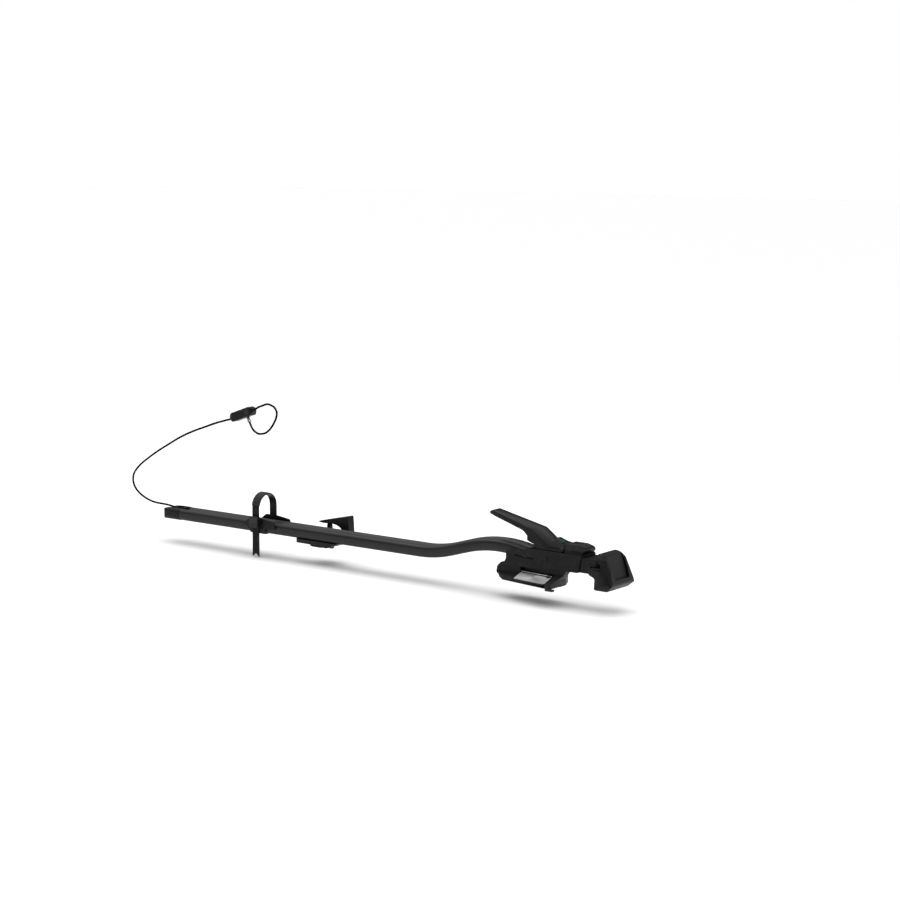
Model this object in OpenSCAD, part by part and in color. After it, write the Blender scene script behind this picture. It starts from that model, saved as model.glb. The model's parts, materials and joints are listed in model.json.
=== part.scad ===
// Roof carrier for one bicycle, held by its front fork.
// Millimetres. +X points forward, -Y is the lever side, +Z is up.
// The origin is the middle of the front foot's seat, on the top of the front crossbar.

/* [Wheel tray] */
// Width of the tray extrusion
tray_w = 54; // [50:0.5:55]
// Height of the tray extrusion
tray_h = 28.5; // [26:0.5:31]
// Wall of the extrusion
tray_wall = 2; // [1.5:0.1:2.6]
// Outer corner radius of the extrusion
tray_r = 10; // [8:0.5:11]
// Width of the tyre trough
trough_w = 32; // [28:1:33]
// Depth of the tyre trough
trough_d = 6; // [5:0.5:7]
// Width of the slot along the underside
slot_w = 11; // [9:0.5:14]
// Underside of the straight tray above the crossbar
tray_z = 19; // [18.5:0.5:22]
// Rear end of the extrusion behind the front seat
tray_reach = 1165; // [1050:5:1300]
// Crest of the bend behind the front seat
crest_back = 155; // [145:1:175]
// Length of the tray past its crest, into the head
tray_in = 84; // [78:1:90]

/* [End cap] */
// Length of the end cap behind the extrusion
cap_l = 58; // [50:1:70]
// How far the cap stands proud of the extrusion
cap_over = 0.8; // [0.4:0.1:1.5]
// Radius of the cap's rear corners in plan
cap_r = 13; // [8:1:18]
// Length of the scoop in the top of the cap
pit_l = 44; // [36:1:48]
// Width of the scoop
pit_w = 27; // [20:1:32]
// Depth of the scoop at the cable
pit_d = 13; // [11:0.5:15]
// Length of the plug inside the extrusion
plug_l = 20; // [15:1:30]

/* [Head] */
// Width of the head
head_w = 60; // [60:1:66]
// Top of the front foot, where the head sits
deck_z = 39.5; // [37:0.5:42]
// Top of the head block
head_z = 79.5; // [78:0.5:81]
// Rear lower edge of the head block behind the front seat
block_back = 18.5; // [15:0.5:22]
// Front lower edge of the head block
block_front = 71; // [66:1:74]
// Lean of the block's rear edge
rear_lean = 6; // [3:0.5:9]
// Lean of the block's front edge
front_lean = 8; // [5:0.5:11]
// Rear wall of the tray socket behind the front seat
socket_back = 130; // [126:1:134]
// Top of the nose cover
cover_z = 102; // [100:0.5:106]
// Front end of the nose cover
cover_front = 82; // [78:1:90]
// Width of the cover's flat top
cover_top_w = 31; // [24:1:40]
// Width of the cover at its foot
cover_w = 54; // [48:1:58]

/* [Clamp] */
// Lever pivot in front of the seat
pivot_x = 22; // [20:0.5:24]
// Height of the lever pivot
pivot_z = 88.5; // [87.5:0.5:90]
// Radius of the lever pivot pin
pivot_r = 3; // [2.5:0.25:3.5]
// Radius of the knuckles round the pivot
knuckle_r = 8; // [7.5:0.25:8.25]
// Angle through which the lever opens
lever_open = 75; // [60:1:80]
// Travel of the jaw
jaw_travel = 14; // [12:0.5:16]
// Radius of the drive pin in the lever
drive_r = 2.5; // [2:0.25:3]
// Tip of the lever behind the pivot
lever_l = 212; // [190:2:230]
// Height of the lever tip above the pivot
lever_rise = 60; // [52:1:68]
// Width of the lever at its root
lever_w = 52; // [46:1:54]
// Width of the lever at its tip
lever_tip_w = 33; // [26:1:38]
// Wall of the hollow lever
lever_wall = 4; // [3:0.5:6]
// Axle of the fork in front of the seat
axle_x = 129; // [126:0.5:134]
// Height of the axle
axle_z = 64; // [63:0.5:66]
// Diameter of the axle that the jaw clamps
axle_d = 15; // [12:0.5:15]
// Thickness of the jaw's liner
liner_t = 3; // [2.5:0.5:4]
// Width of the jaw at its widest, below the axle
jaw_w = 98; // [92:1:104]
// Height of the jaw's underside
jaw_z = 9; // [8:0.5:12]
// Height of the jaw's top
jaw_top = 91; // [88:0.5:96]
// Height of the draw bar and the guide rods
rod_z = 47; // [46.5:0.5:48]
// Radius of the draw bar
rod_r = 4.5; // [4:0.25:5]
// Radius of the guide rods
guide_r = 4; // [3.5:0.25:4.5]
// Distance of the guide rods from the middle
guide_y = 21; // [19:0.5:23]

/* [Front foot] */
// Thickness of the rubber pads under both feet
pad_t = 4; // [3:0.5:5]
// Gap between the foot's rim and the crossbar
rim_gap = 1.5; // [1:0.25:2]
// Length of the front pad along the carrier
pad_l = 44; // [36:1:50]
// Width of the front pad along the crossbar
pad_w = 50; // [44:1:54]
// Rear end of the front foot behind the seat
foot_back = 154; // [150:1:158]
// Front end of the front foot
foot_front = 22; // [20:1:30]
// Width of the lever wing at its front
wing_front = 68; // [64:1:74]
// Width of the lever wing at its rear
wing_back = 43; // [40:1:48]
// Length of the foot lever
flip_l = 92; // [84:1:96]
// Width of the foot lever
flip_w = 31; // [28:0.5:33]
// Thickness of the foot lever
flip_t = 4; // [3:0.5:5]
// Yaw of the foot lever along the flared wing
flip_yaw = 7; // [5:0.5:9]
// Tilt of the closed foot lever
flip_tilt = 23; // [20:0.5:26]
// Radius of the T-bolt shanks
bolt_r = 3; // [2.5:0.25:4]
// Width of a T-bolt head across the track
t_head_w = 20; // [16:1:24]
// Depth of a T-bolt head below the crossbar's top
t_head_z = 10; // [8:0.5:12]

/* [Rear foot] */
// Distance between the crossbars
bar_gap = 715; // [650:5:800]
// Length of the rear foot's plate
rear_l = 111; // [104:1:120]
// Reach of the plate behind the rear crossbar
rear_back = 57; // [52:1:62]
// Width of the rear foot under the tray
rear_w = 52; // [50:1:58]
// Middle of the rear lever on the far side
rear_y = 45; // [42:1:48]
// Width of the rear lever
rear_lever_w = 22; // [20:1:24]
// Height of the rear lever's pivot
rear_pivot_z = 57.5; // [57:0.5:60]
// Radius of the rear lever's pin
rear_pin_r = 1.75; // [1.5:0.25:2]

/* [Wheel strap] */
// Middle of the strap behind the front seat
strap_back = 891; // [860:1:940]
// Width of the strap
strap_w = 21; // [18:0.5:25]
// Thickness of the strap
strap_t = 3; // [2.5:0.25:3.5]
// Half width of the strap's arch, inside
arch_y = 31; // [30.5:0.5:33]
// Top of the strap's arch, inside
arch_z = 114; // [105:1:130]
// Radius of the arch's shoulders, inside
arch_r = 30; // [22:1:30]
// Lower end of the strap's tail
tail_z = -40; // [-60:1:-30]
// Reach of the strap carriage's wings to the rear
carriage_back = 44; // [40:1:50]
// Reach of the strap carriage's wings to the front
carriage_front = 62; // [56:1:68]
// Wall of the strap carriage
carriage_wall = 2; // [2:0.25:4]
// Width of the buckle tab
tab_w = 27; // [25:0.5:30]
// Height of the buckle tab
tab_h = 28; // [24:1:34]

/* [Lock cable] */
// Diameter of the lock cable
cable_d = 5; // [5:0.25:6]
// Length of the lock body
lock_l = 82; // [70:1:90]
// Height of the lock body
lock_h = 22; // [20:0.5:26]
// Thickness of the lock body
lock_t = 20; // [16:0.5:24]

/* [Hidden] */
$fn = 48;
arc_steps = 5;
fit = 0.05;
gap = 0.3;
seam = 0.4;
socket_gap = 0.15;
far = 400;

// Colours
plastic = [0.10, 0.10, 0.105];
rubber = [0.06, 0.06, 0.06];
anodised = [0.14, 0.14, 0.145];
steel = [0.62, 0.63, 0.65];
buckle_grey = [0.33, 0.34, 0.35];
indicator_green = [0.05, 0.40, 0.28];

// Tray line: the rear straight, two bends with a ramp, and the dip into the head
line_z = tray_z + tray_h / 2;
bend_r = 325;
ramp_l = 50;
bend_a = atan2(7, 24);
bend_rise = bend_r * (1 - cos(bend_a));
bend_run = bend_r * sin(bend_a);
ramp_run = ramp_l * cos(bend_a);
ramp_rise = ramp_l * sin(bend_a);
crest_x = -crest_back;
crest_z = line_z + 2 * bend_rise + ramp_rise;
ramp_x = crest_x - bend_run - ramp_run;
ramp_z = line_z + bend_rise;
bend_x = ramp_x - bend_run;
tray_end_x = crest_x + tray_in;
tray_top_z = tray_z + tray_h;
trough_r = (trough_w * trough_w / 4 + trough_d * trough_d) / (2 * trough_d);
trough_c = tray_h / 2 - trough_d + trough_r;

// End cap and cable exit
cap_x = -tray_reach - cap_l;
cap_top = tray_top_z + cap_over;
pit_x = -tray_reach - 6;
grommet_z = tray_top_z - pit_d / 2 + 1;
grommet_r = cable_d / 2 + 2.5;
grommet_x = pit_x - 3;

// Clamp geometry: a spiral slot in the lever carries the yoke's drive pin forward as the lever lifts
cam_r = 9.5;
drive_x = pivot_x - cam_r - jaw_travel;
drive_z = pivot_z;
axle_r = axle_d / 2;
lug_in = 9.5;
lug_t = 5;
tongue_w = 2 * (lug_in - gap);
yoke_t = 6;
tip_x = pivot_x - lever_l;
tip_z = pivot_z + lever_rise;
bend_top_x = pivot_x - 62;
bend_top_z = pivot_z + 38.5;
slope_x = pivot_x - 30;
slope_z = pivot_z + 15.5;
front_slope = atan2(bend_top_z - slope_z, slope_x - bend_top_x);
slope_r = 30;
lever_heel_x = pivot_x - 66;
lever_neck_x = pivot_x - 106;
lever_neck_z = tip_z - 31;
crown_r = 44;
tongue_r = 6;
indicator_a = 13;
catch_w = 28;
core_r = 5;
core_l = 12;
core_z = head_z + 22;
grip_slope = atan2(tip_z + 7 - bend_top_z, bend_top_x - tip_x - 18);
jaw_back = axle_x - 8;
lip_x = axle_x - 26;
wall_x = axle_x + axle_r + liner_t;
hook_x = axle_x - 4;
hook_z = axle_z + axle_r + 4;
jaw_front = axle_x + 43;
liner_y = jaw_w / 2 - 8;
panel_y = jaw_w / 2 - 21;

// Foot lever: its hinge line on the wing
flip_x = -39;
flip_y = -31;
flip_z = 21.5;
flip_pin_r = 2;
flip_eye_r = 4;
flip_bolt_x = flip_l / 2 - 8;
flip_drop = 2.5;

// Screws from the foot up into the head
screw_r = 2.5;
screw_head_r = 4.5;
screw_seat_z = 8;
screw_bite = 11;
screw_places = [[-62, 16], [-62, -16], [-8, 17], [-8, -17]];

// Rear foot
bar_x = -bar_gap;
plate_top = tray_z - gap;
rear_bolt_x = bar_x;
rear_post = 5.5;
rear_eye_r = 3.5;
rear_drop = 2.5;
rear_wall = 5.5;
rear_saddle_z = rear_pivot_z - 21;
base_z = 10.5;
base_y = 10;
rear_pad_l = 32;
rear_pad_w = 36;

// Strap
strap_x = -strap_back;
strap_out = arch_y + strap_t;
tooth_pitch = 4;
buckle_pin_r = 1.5;
buckle_cheek = 2.6;
buckle_eye_r = 3;
buckle_pin_y = -strap_out - buckle_eye_r - 0.6;
buckle_pin_z = tray_top_z + 4.5;

// Lock cable: route points, from the end cap to the lock body, and round back to its plug
lock_p = [-896, -70, 321.5];
lock_a = 19.7;
lock_end = lock_l / 2 * [cos(lock_a), 0, sin(lock_a)];
lock_core_r = 6.5;
lock_core_l = 10;
lock_core_x = 22;
plug_r = 4;
plug_len = 20;
lead_route = [
    [grommet_x, 0, grommet_z], [grommet_x - 12, 0, grommet_z], [-1204, 0, 46], [-1226, 0, 49],
    [-1250, 0, 50], [-1272, -1, 51], [-1293, -2, 55], [-1312, -5, 63], [-1328, -8, 74], [-1339, -11, 89],
    [-1341, -14, 106], [-1334, -17, 124], [-1316, -20, 142], [-1290, -24, 160], [-1238, -31, 190],
    [-1188, -38, 215], [-1138, -45, 239], [-1088, -52, 259], [-1040, -58, 275], [-994, -64, 290],
    [-954, -69, 301], lock_p - lock_end - [0, 0, 2]];
loop_route = [
    lock_p + lock_end, [-846, -69, 342], [-834, -65, 347], [-827, -61, 350], [-820, -56, 349],
    [-811, -49, 342], [-807, -45, 328], [-809, -49, 310], [-815, -58, 292], [-821, -63, 284],
    [-828, -66, 279], [-844, -71, 277], [-859, -73, 285], [-869, -72, 297], [-873, -71, 303]];
plug_dir = [-0.52, 0.09, 0.85];

// Outlines with rounded corners: each point is [across, up, corner radius]
function unit(v) = v / norm(v);
function corner(a, b, c, r) =
    let (u = unit(a - b), v = unit(c - b), half = acos(u * v) / 2,
        o = b + unit(u + v) * (r / sin(half)), p = b + u * (r / tan(half)), q = b + v * (r / tan(half)),
        from = atan2(p.y - o.y, p.x - o.x), to = atan2(q.y - o.y, q.x - o.x),
        sweep = ((to - from + 540) % 360) - 180)
    [for (i = [0:arc_steps]) o + r * [cos(from + sweep * i / arc_steps), sin(from + sweep * i / arc_steps)]];
function rounded(pts) =
    let (k = len(pts), flat = [for (p = pts) [p[0], p[1]]])
    [for (i = [0:k - 1]) each (pts[i][2] > 0
        ? corner(flat[(i + k - 1) % k], flat[i], flat[(i + 1) % k], pts[i][2]) : [flat[i]])];

// Prisms of an outline: along Y from the side, along Z in plan, along X from the front
module side(pts, y0, y1) {
    translate([0, y1, 0]) rotate([90, 0, 0]) linear_extrude(y1 - y0) polygon(rounded(pts));
}
module plan(pts, z0, z1) {
    translate([0, 0, z0]) linear_extrude(z1 - z0) polygon(rounded(pts));
}
module front(pts, x0, x1) {
    translate([x0, 0, 0]) rotate([90, 0, 90]) linear_extrude(x1 - x0) polygon(rounded(pts));
}

// Round bars along the three axes
module rod_x(r, x0, x1, y, z) {
    translate([x0, y, z]) rotate([0, 90, 0]) cylinder(r = r, h = x1 - x0);
}
module rod_y(r, y0, y1, x, z) {
    translate([x, y1, z]) rotate([90, 0, 0]) cylinder(r = r, h = y1 - y0);
}
module rod_z(r, z0, z1, x, y) {
    translate([x, y, z0]) cylinder(r = r, h = z1 - z0);
}
module box(x0, x1, y0, y1, z0, z1) {
    translate([x0, y0, z0]) cube([x1 - x0, y1 - y0, z1 - z0]);
}

module round_rect(w, h, r) {
    square([w - 2 * r, h], center = true);
    square([w, h - 2 * r], center = true);
    for (sx = [-1, 1], sy = [-1, 1]) translate([sx * (w / 2 - r), sy * (h / 2 - r)]) circle(r);
}

// Tray section: a hollow channel with a round trough on top and a slot underneath
module tray_hollow(g) {
    difference() {
        round_rect(tray_w - 2 * (tray_wall + g), tray_h - 2 * (tray_wall + g), tray_r - tray_wall);
        translate([0, trough_c]) circle(trough_r + tray_wall + g, $fn = 96);
    }
}
module tray_section() {
    difference() {
        round_rect(tray_w, tray_h, tray_r);
        translate([0, trough_c]) circle(trough_r, $fn = 96);
        tray_hollow(0);
        translate([-slot_w / 2, -tray_h / 2 - 1]) square([slot_w, tray_wall + 2]);
    }
}
module along_x(len) {
    rotate([90, 0, 90]) linear_extrude(len) children();
}
module bend_turn(x, z, from, angle, turn) {
    translate([x, 0, z]) rotate([90, 0, 0]) rotate([0, 0, from]) rotate_extrude(angle = angle, $fn = 180)
        translate([bend_r, 0]) rotate(turn) children();
}
module on_ramp() {
    translate([ramp_x, 0, ramp_z]) rotate([0, -bend_a, 0]) children();
}
// Both bends run past the ramp's ends and are cut off square there; the front one ends upright
module tray_front() {
    difference() {
        bend_turn(crest_x, crest_z - bend_r, 90 - bend_a, 2 * bend_a + 5, -90) children();
        on_ramp() box(-far, ramp_l, -tray_w, tray_w, -far / 2, far / 2);
        box(tray_end_x, far, -tray_w, tray_w, -far, far);
    }
}
module tray_rear() {
    translate([-tray_reach, 0, line_z]) along_x(bend_x + tray_reach) children();
    difference() {
        bend_turn(bend_x, line_z + bend_r, 270, bend_a + 5, 90) children();
        on_ramp() box(0, far, -tray_w, tray_w, -far / 2, far / 2);
    }
    on_ramp() along_x(ramp_l) children();
}
module wheel_tray() {
    color(anodised) {
        tray_rear() tray_section();
        tray_front() tray_section();
    }
}

// End cap: a moulded plug with a scoop in its top, where the lock cable comes out
module cap_outline() {
    round_rect(tray_w + 2 * cap_over, tray_h + 2 * cap_over, tray_r + cap_over);
}
module tray_end_cap() {
    half = tray_w / 2 + cap_over;
    low = tray_z - cap_over;
    color(plastic) difference() {
        union() {
            intersection() {
                translate([cap_x, 0, line_z]) along_x(cap_l) cap_outline();
                plan([[cap_x, -half, cap_r], [-tray_reach, -half, 0], [-tray_reach, half, 0],
                    [cap_x, half, cap_r]], low - 1, cap_top + 1);
                side([[cap_x + 4, low, 6], [-tray_reach, low, 0], [-tray_reach, cap_top, 0],
                    [-tray_reach - pit_l / 2, cap_top, 30], [cap_x, cap_top - 3, 4]], -half, half);
            }
            translate([-tray_reach, 0, line_z]) along_x(plug_l) tray_hollow(0.15);
        }
        side([[pit_x, cap_top + 2, 0], [pit_x, tray_top_z - pit_d, 0.8],
            [pit_x - 14, tray_top_z - pit_d, 8], [pit_x - pit_l + 6, cap_top - 5.5, 12],
            [pit_x - pit_l - 30, cap_top - 5.5, 0], [pit_x - pit_l - 30, cap_top + 2, 0]],
            -pit_w / 4, pit_w / 4);
        side([[pit_x, cap_top + 2, 0], [pit_x, tray_top_z - pit_d, 0.8],
            [pit_x - 14, tray_top_z - pit_d, 8], [pit_x - pit_l, cap_top + 2, 0]], -pit_w / 2, pit_w / 2);
        rod_x(grommet_r + fit, pit_x - 1, -tray_reach + plug_l + 1, 0, grommet_z);
    }
}
module cable_grommet() {
    color(rubber) {
        rod_x(grommet_r, pit_x, -tray_reach, 0, grommet_z);
        translate([pit_x, 0, grommet_z]) rotate([0, -90, 0])
            cylinder(r1 = grommet_r + 1.5, r2 = cable_d / 2 + 1, h = pit_x - grommet_x);
    }
}

// Head: the socket that grips the tray, the block with the clamp, and the cover over its nose
seam_low = -block_back;
seam_high = -block_back - rear_lean;
module screw_holes() {
    for (p = screw_places) rod_z(screw_r + fit, deck_z - 1, deck_z + screw_bite + 1, p.x, p.y);
}
module tray_socket() {
    back = -socket_back;
    half = head_w / 2 - 1;
    color(plastic) difference() {
        side([[back - 2, deck_z, 0], [back + 3, deck_z + 10, 8], [back + 3, deck_z + 27, 4],
            [back + 22, deck_z + 38, 12], [tray_end_x - 2, deck_z + 35, 4], [tray_end_x + 4, head_z, 4],
            [seam_high - seam, head_z, 0], [seam_low - seam, deck_z, 0]], -half, half);
        tray_front() round_rect(tray_w + 2 * socket_gap, tray_h + 2 * socket_gap, tray_r);
        box(back - 5, tray_end_x - 6, -trough_w / 2, trough_w / 2, crest_z, head_z + 10);
        screw_holes();
        for (s = [-1, 1]) translate([tray_end_x - 28, s * half, deck_z + 21]) rotate([0, 4, 0]) {
            box(0, 46, -2, 2, -2.2, 2.2);
            rod_y(2.2, -2, 2, 0, 0);
            rod_y(2.2, -2, 2, 46, 0);
        }
    }
}
module head_block() {
    half = head_w / 2;
    well_x0 = drive_x - 8;
    well_x1 = pivot_x + 15;
    color(plastic) difference() {
        union() {
            side([[seam_low, deck_z, 0], [block_front, deck_z, 3], [block_front + front_lean, head_z, 3],
                [seam_high, head_z, 0]], -half, half);
            for (s = [-1, 1]) {
                y0 = s > 0 ? lug_in : -lug_in - lug_t;
                rod_y(knuckle_r, y0, y0 + lug_t, pivot_x, pivot_z);
                box(pivot_x - knuckle_r, pivot_x + knuckle_r, y0, y0 + lug_t, head_z - 1, pivot_z);
            }
        }
        box(well_x0, well_x1, -lug_in, lug_in, rod_z - 8, head_z + 1);
        rod_y(pivot_r + fit, -half, half, pivot_x, pivot_z);
        rod_x(rod_r + fit, well_x0, far, 0, rod_z);
        for (s = [-1, 1]) rod_x(guide_r + fit, 8, far, s * guide_y, rod_z);
        screw_holes();
        for (s = [-1, 1]) translate([seam_high + 9, s * half, (deck_z + head_z) / 2 + 2]) rotate([0, -4, 0])
            box(0, 9, -1, 1, -4, 4);
    }
}
module nose_cover() {
    low = cover_w / 2;
    top = cover_top_w / 2;
    x0 = pivot_x + knuckle_r + 1;
    color(plastic) intersection() {
        side([[x0, head_z, 0], [block_front + front_lean - 3, head_z, 0], [cover_front, head_z + 9, 3],
            [cover_front, cover_z - 7, 5], [cover_front - 22, cover_z + 1, 24], [x0 + 4, cover_z - 1, 6],
            [x0, cover_z - 5, 3]], -low, low);
        front([[-low, head_z, 0], [low, head_z, 0], [low - 2, head_z + 8, 6], [top, cover_z - 1, 6],
            [0, cover_z + 1, 30], [-top, cover_z - 1, 6], [-low + 2, head_z + 8, 6]], x0, cover_front);
    }
}

// Fixed rear jaw with its pad; the guide rods run through it
module rear_jaw() {
    back = block_front + (rod_z - 6 - deck_z) / (head_z - deck_z) * front_lean;
    top = axle_z + axle_r + 3;
    back_top = block_front + (top - deck_z) / (head_z - deck_z) * front_lean;
    color(plastic) difference() {
        union() {
            side([[back, rod_z - 6, 0], [lip_x - 1, rod_z - 6, 3], [lip_x - 1, axle_z - axle_r + 1, 0],
                [axle_x - axle_r - 5, axle_z - axle_r + 1, 2], [axle_x - axle_r - 5, top, 4],
                [back_top, top, 0]], -head_w / 2 + 3, head_w / 2 - 3);
        }
        rod_x(rod_r + fit, 0, far, 0, rod_z);
        for (s = [-1, 1]) rod_x(guide_r + fit, 0, far, s * guide_y, rod_z);
    }
}
module rear_jaw_pad() {
    x0 = axle_x - axle_r - 5;
    color(rubber) difference() {
        side([[x0, axle_z - axle_r + 2, 0], [axle_x - 3, axle_z - axle_r + 2, 1],
            [axle_x - 3, axle_z + axle_r, 1], [x0, axle_z + axle_r, 0]], -head_w / 2 + 4, head_w / 2 - 4);
        rod_y(axle_r + gap, -far, far, axle_x, axle_z);
    }
}

// Front jaw: a hooked block that the lever draws back onto the axle
module jaw_outline() {
    side([[jaw_back, jaw_z, 5], [jaw_front - 16, jaw_z, 10], [jaw_front - 2, jaw_z + 13, 3],
        [jaw_front, jaw_z + 18, 6], [jaw_front - 10, jaw_top - 34, 40], [jaw_front - 19, jaw_top - 17, 30],
        [jaw_front - 29, jaw_top - 3, 12], [jaw_front - 38, jaw_top + 0.3, 8], [hook_x, jaw_top, 4],
        [hook_x, hook_z, 2], [wall_x, hook_z, 0], [wall_x, axle_z - axle_r - liner_t, 0],
        [lip_x, axle_z - axle_r - liner_t, 4], [lip_x, rod_z - guide_r - 1.5, 4],
        [jaw_back + 2, jaw_z + 27, 6]], -jaw_w / 2, jaw_w / 2);
}
// The front leans back, with corners rounded along the lean
module jaw_lean() {
    half = jaw_w / 2;
    translate([jaw_front - 10, 0, jaw_top - 34]) rotate([0, -25, 0])
        plan([[-far, -half - 1, 0], [0.5, -half - 1, 18], [2, 0, 200], [0.5, half + 1, 18],
            [-far, half + 1, 0]], -far, far);
}
// Recessed panel between the flanks, the bare place of a badge
module jaw_panel() {
    intersection() {
        side([[jaw_front - 28, jaw_top - 5, 0], [jaw_front - 11, jaw_z + 26.5, 2],
            [jaw_front + 5, jaw_z + 24.5, 0], [jaw_front + 5, jaw_top - 5, 0]], -jaw_w / 2, jaw_w / 2);
        front([[-panel_y, jaw_z, 0], [panel_y, jaw_z, 0], [panel_y + 5, jaw_top - 14, 10],
            [panel_y - 2, jaw_top - 2, 4], [-panel_y + 2, jaw_top - 2, 4],
            [-panel_y - 5, jaw_top - 14, 10]], axle_x, jaw_front + 10);
    }
}
module front_jaw() {
    half = jaw_w / 2;
    color(plastic) difference() {
        intersection() {
            jaw_outline();
            jaw_lean();
            front([[-half + 9, jaw_z - 1, 8], [half - 9, jaw_z - 1, 8], [half, jaw_z + 13, 12],
                [half - 5, axle_z, 60], [half - 8, jaw_top - 14, 14], [half - 18, jaw_top + 1, 8],
                [-half + 18, jaw_top + 1, 8], [-half + 8, jaw_top - 14, 14], [-half + 5, axle_z, 60],
                [-half, jaw_z + 13, 12]], lip_x - 1, jaw_front + 2);
            plan([[lip_x - 1, -half + 12, 0], [jaw_back + 26, -half, 30], [jaw_front + 5, -half, 0],
                [jaw_front + 5, half, 0], [jaw_back + 26, half, 30], [lip_x - 1, half - 12, 0]],
                0, jaw_top + 2);
        }
        jaw_panel();
        rod_x(rod_r + fit, lip_x - 1, axle_x + 6, 0, rod_z);
        for (s = [-1, 1]) rod_x(guide_r + fit, lip_x - 1, axle_x + 6, s * guide_y, rod_z);
    }
}
module jaw_liner() {
    color(rubber) difference() {
        side([[lip_x + 6, axle_z - axle_r - liner_t, 0], [wall_x, axle_z - axle_r - liner_t, 0],
            [wall_x, hook_z, 0], [hook_x + 2, hook_z, 0], [hook_x + 2, axle_z + axle_r, 0],
            [axle_x, axle_z + axle_r, 0], [axle_x, axle_z - axle_r, 0], [lip_x + 6, axle_z - axle_r, 0]],
            -liner_y, liner_y);
        rod_y(axle_r, -far, far, axle_x, axle_z);
    }
}
module guide_rods() {
    color(steel) for (s = [-1, 1]) rod_x(guide_r, 24, axle_x + 5, s * guide_y, rod_z);
}
module draw_bar() {
    color(steel) rod_x(rod_r, drive_x + 2, axle_x + 5, 0, rod_z);
}
module draw_yoke() {
    color(steel) difference() {
        union() {
            side([[drive_x - 5, rod_z - 6, 3], [drive_x + 10, rod_z - 6, 3], [drive_x + 10, rod_z + 6, 3],
                [drive_x + 5, rod_z + 14, 8], [drive_x + 5, drive_z, 0], [drive_x - 5, drive_z, 0]],
                -yoke_t / 2, yoke_t / 2);
            rod_y(4.8, -yoke_t / 2, yoke_t / 2, drive_x, drive_z);
        }
        rod_y(drive_r + fit, -yoke_t, yoke_t, drive_x, drive_z);
        rod_x(rod_r + fit, drive_x + 2, far, 0, rod_z);
    }
}

// Clamp lever: a crowned hollow handle with a knuckled root
module lever_profile() {
    side([[tip_x, tip_z - 2, 3], [tip_x + 18, tip_z + 7, 14], [bend_top_x, bend_top_z, 16],
        [slope_x, slope_z, 10], [pivot_x - 2, pivot_z + knuckle_r + 0.8, 2],
        [pivot_x + 2, pivot_z + knuckle_r, 2], [pivot_x + knuckle_r, pivot_z + 2, 4],
        [pivot_x + knuckle_r, pivot_z - 3, 4], [pivot_x, head_z + gap, 2], [lever_heel_x, head_z + gap, 3],
        [lever_heel_x - 6, head_z + 8, 4], [lever_neck_x, lever_neck_z, 30]], -lever_w / 2, lever_w / 2);
}
module lever_plan(w_root, w_tip, x_tip) {
    plan([[x_tip, -w_tip / 2 + 5, 9], [x_tip + 24, -w_tip / 2, 20], [bend_top_x, -w_root / 2, 30],
        [pivot_x + knuckle_r + 1, -w_root / 2, 0], [pivot_x + knuckle_r + 1, w_root / 2, 0],
        [bend_top_x, w_root / 2, 30], [x_tip + 24, w_tip / 2, 20], [x_tip, w_tip / 2 - 5, 9]], 0, far);
}
module lever_crown() {
    translate([tip_x + 18, 0, tip_z + 7]) rotate([0, grip_slope, 0]) {
        rod_x(crown_r, -60, lever_l + 40, 0, -crown_r);
        box(-60, lever_l + 40, -lever_w, lever_w, -far, -crown_r / 2);
    }
}
// The front slope is crowned too, down to a root with sloping shoulders
module lever_slope() {
    translate([bend_top_x, 0, bend_top_z]) rotate([0, front_slope, 0]) {
        rod_x(slope_r, -2 * far, 90, 0, -slope_r);
        box(-2 * far, 90, -lever_w, lever_w, -far, -slope_r);
    }
    front([[-lever_w / 2, 0, 0], [lever_w / 2, 0, 0], [lever_w / 2, pivot_z, 6], [15, slope_z - 2, 8],
        [8, slope_z + 3, 4], [-8, slope_z + 3, 4], [-15, slope_z - 2, 8], [-lever_w / 2, pivot_z, 6]],
        slope_x - 4, pivot_x + knuckle_r + 1);
}
module lever_ridge() {
    side([[slope_x - 8, slope_z - 4, 0], [slope_x + 1, slope_z + 2.6, 3], [pivot_x - 9, slope_z - 4, 2],
        [pivot_x - 9, pivot_z + 9.3, 0], [slope_x - 8, pivot_z + 9.3, 0]], 9.4, 15);
}
// Spiral slot: its distance from the pivot falls by the jaw's travel as the lever opens
function cam_at(a) =
    let (r = cam_r + jaw_travel * (1 - a / lever_open)) [pivot_x - r * cos(a), pivot_z - r * sin(a)];
function cam_edge(a, g) =
    let (p = cam_at(a), t = unit(cam_at(a + 1) - cam_at(a - 1))) [p.x - g * t.y, p.y + g * t.x, 0];
module cam_band(g, from, to) {
    side(concat([for (i = [0:16]) cam_edge(from + (to - from) * i / 16, g)],
        [for (i = [16:-1:0]) cam_edge(from + (to - from) * i / 16, -g)]), -tongue_w / 2, tongue_w / 2);
}
module lever_tongue() {
    cam_band(tongue_r, 8, lever_open + 4);
    side([[cam_at(8).x, cam_at(8).y, 0], [cam_at(45).x, cam_at(45).y, 0],
        [cam_at(lever_open).x, cam_at(lever_open).y, 0], [pivot_x + 4, pivot_z - 6, 0],
        [pivot_x, pivot_z, 0]], -tongue_w / 2, tongue_w / 2);
}
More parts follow.
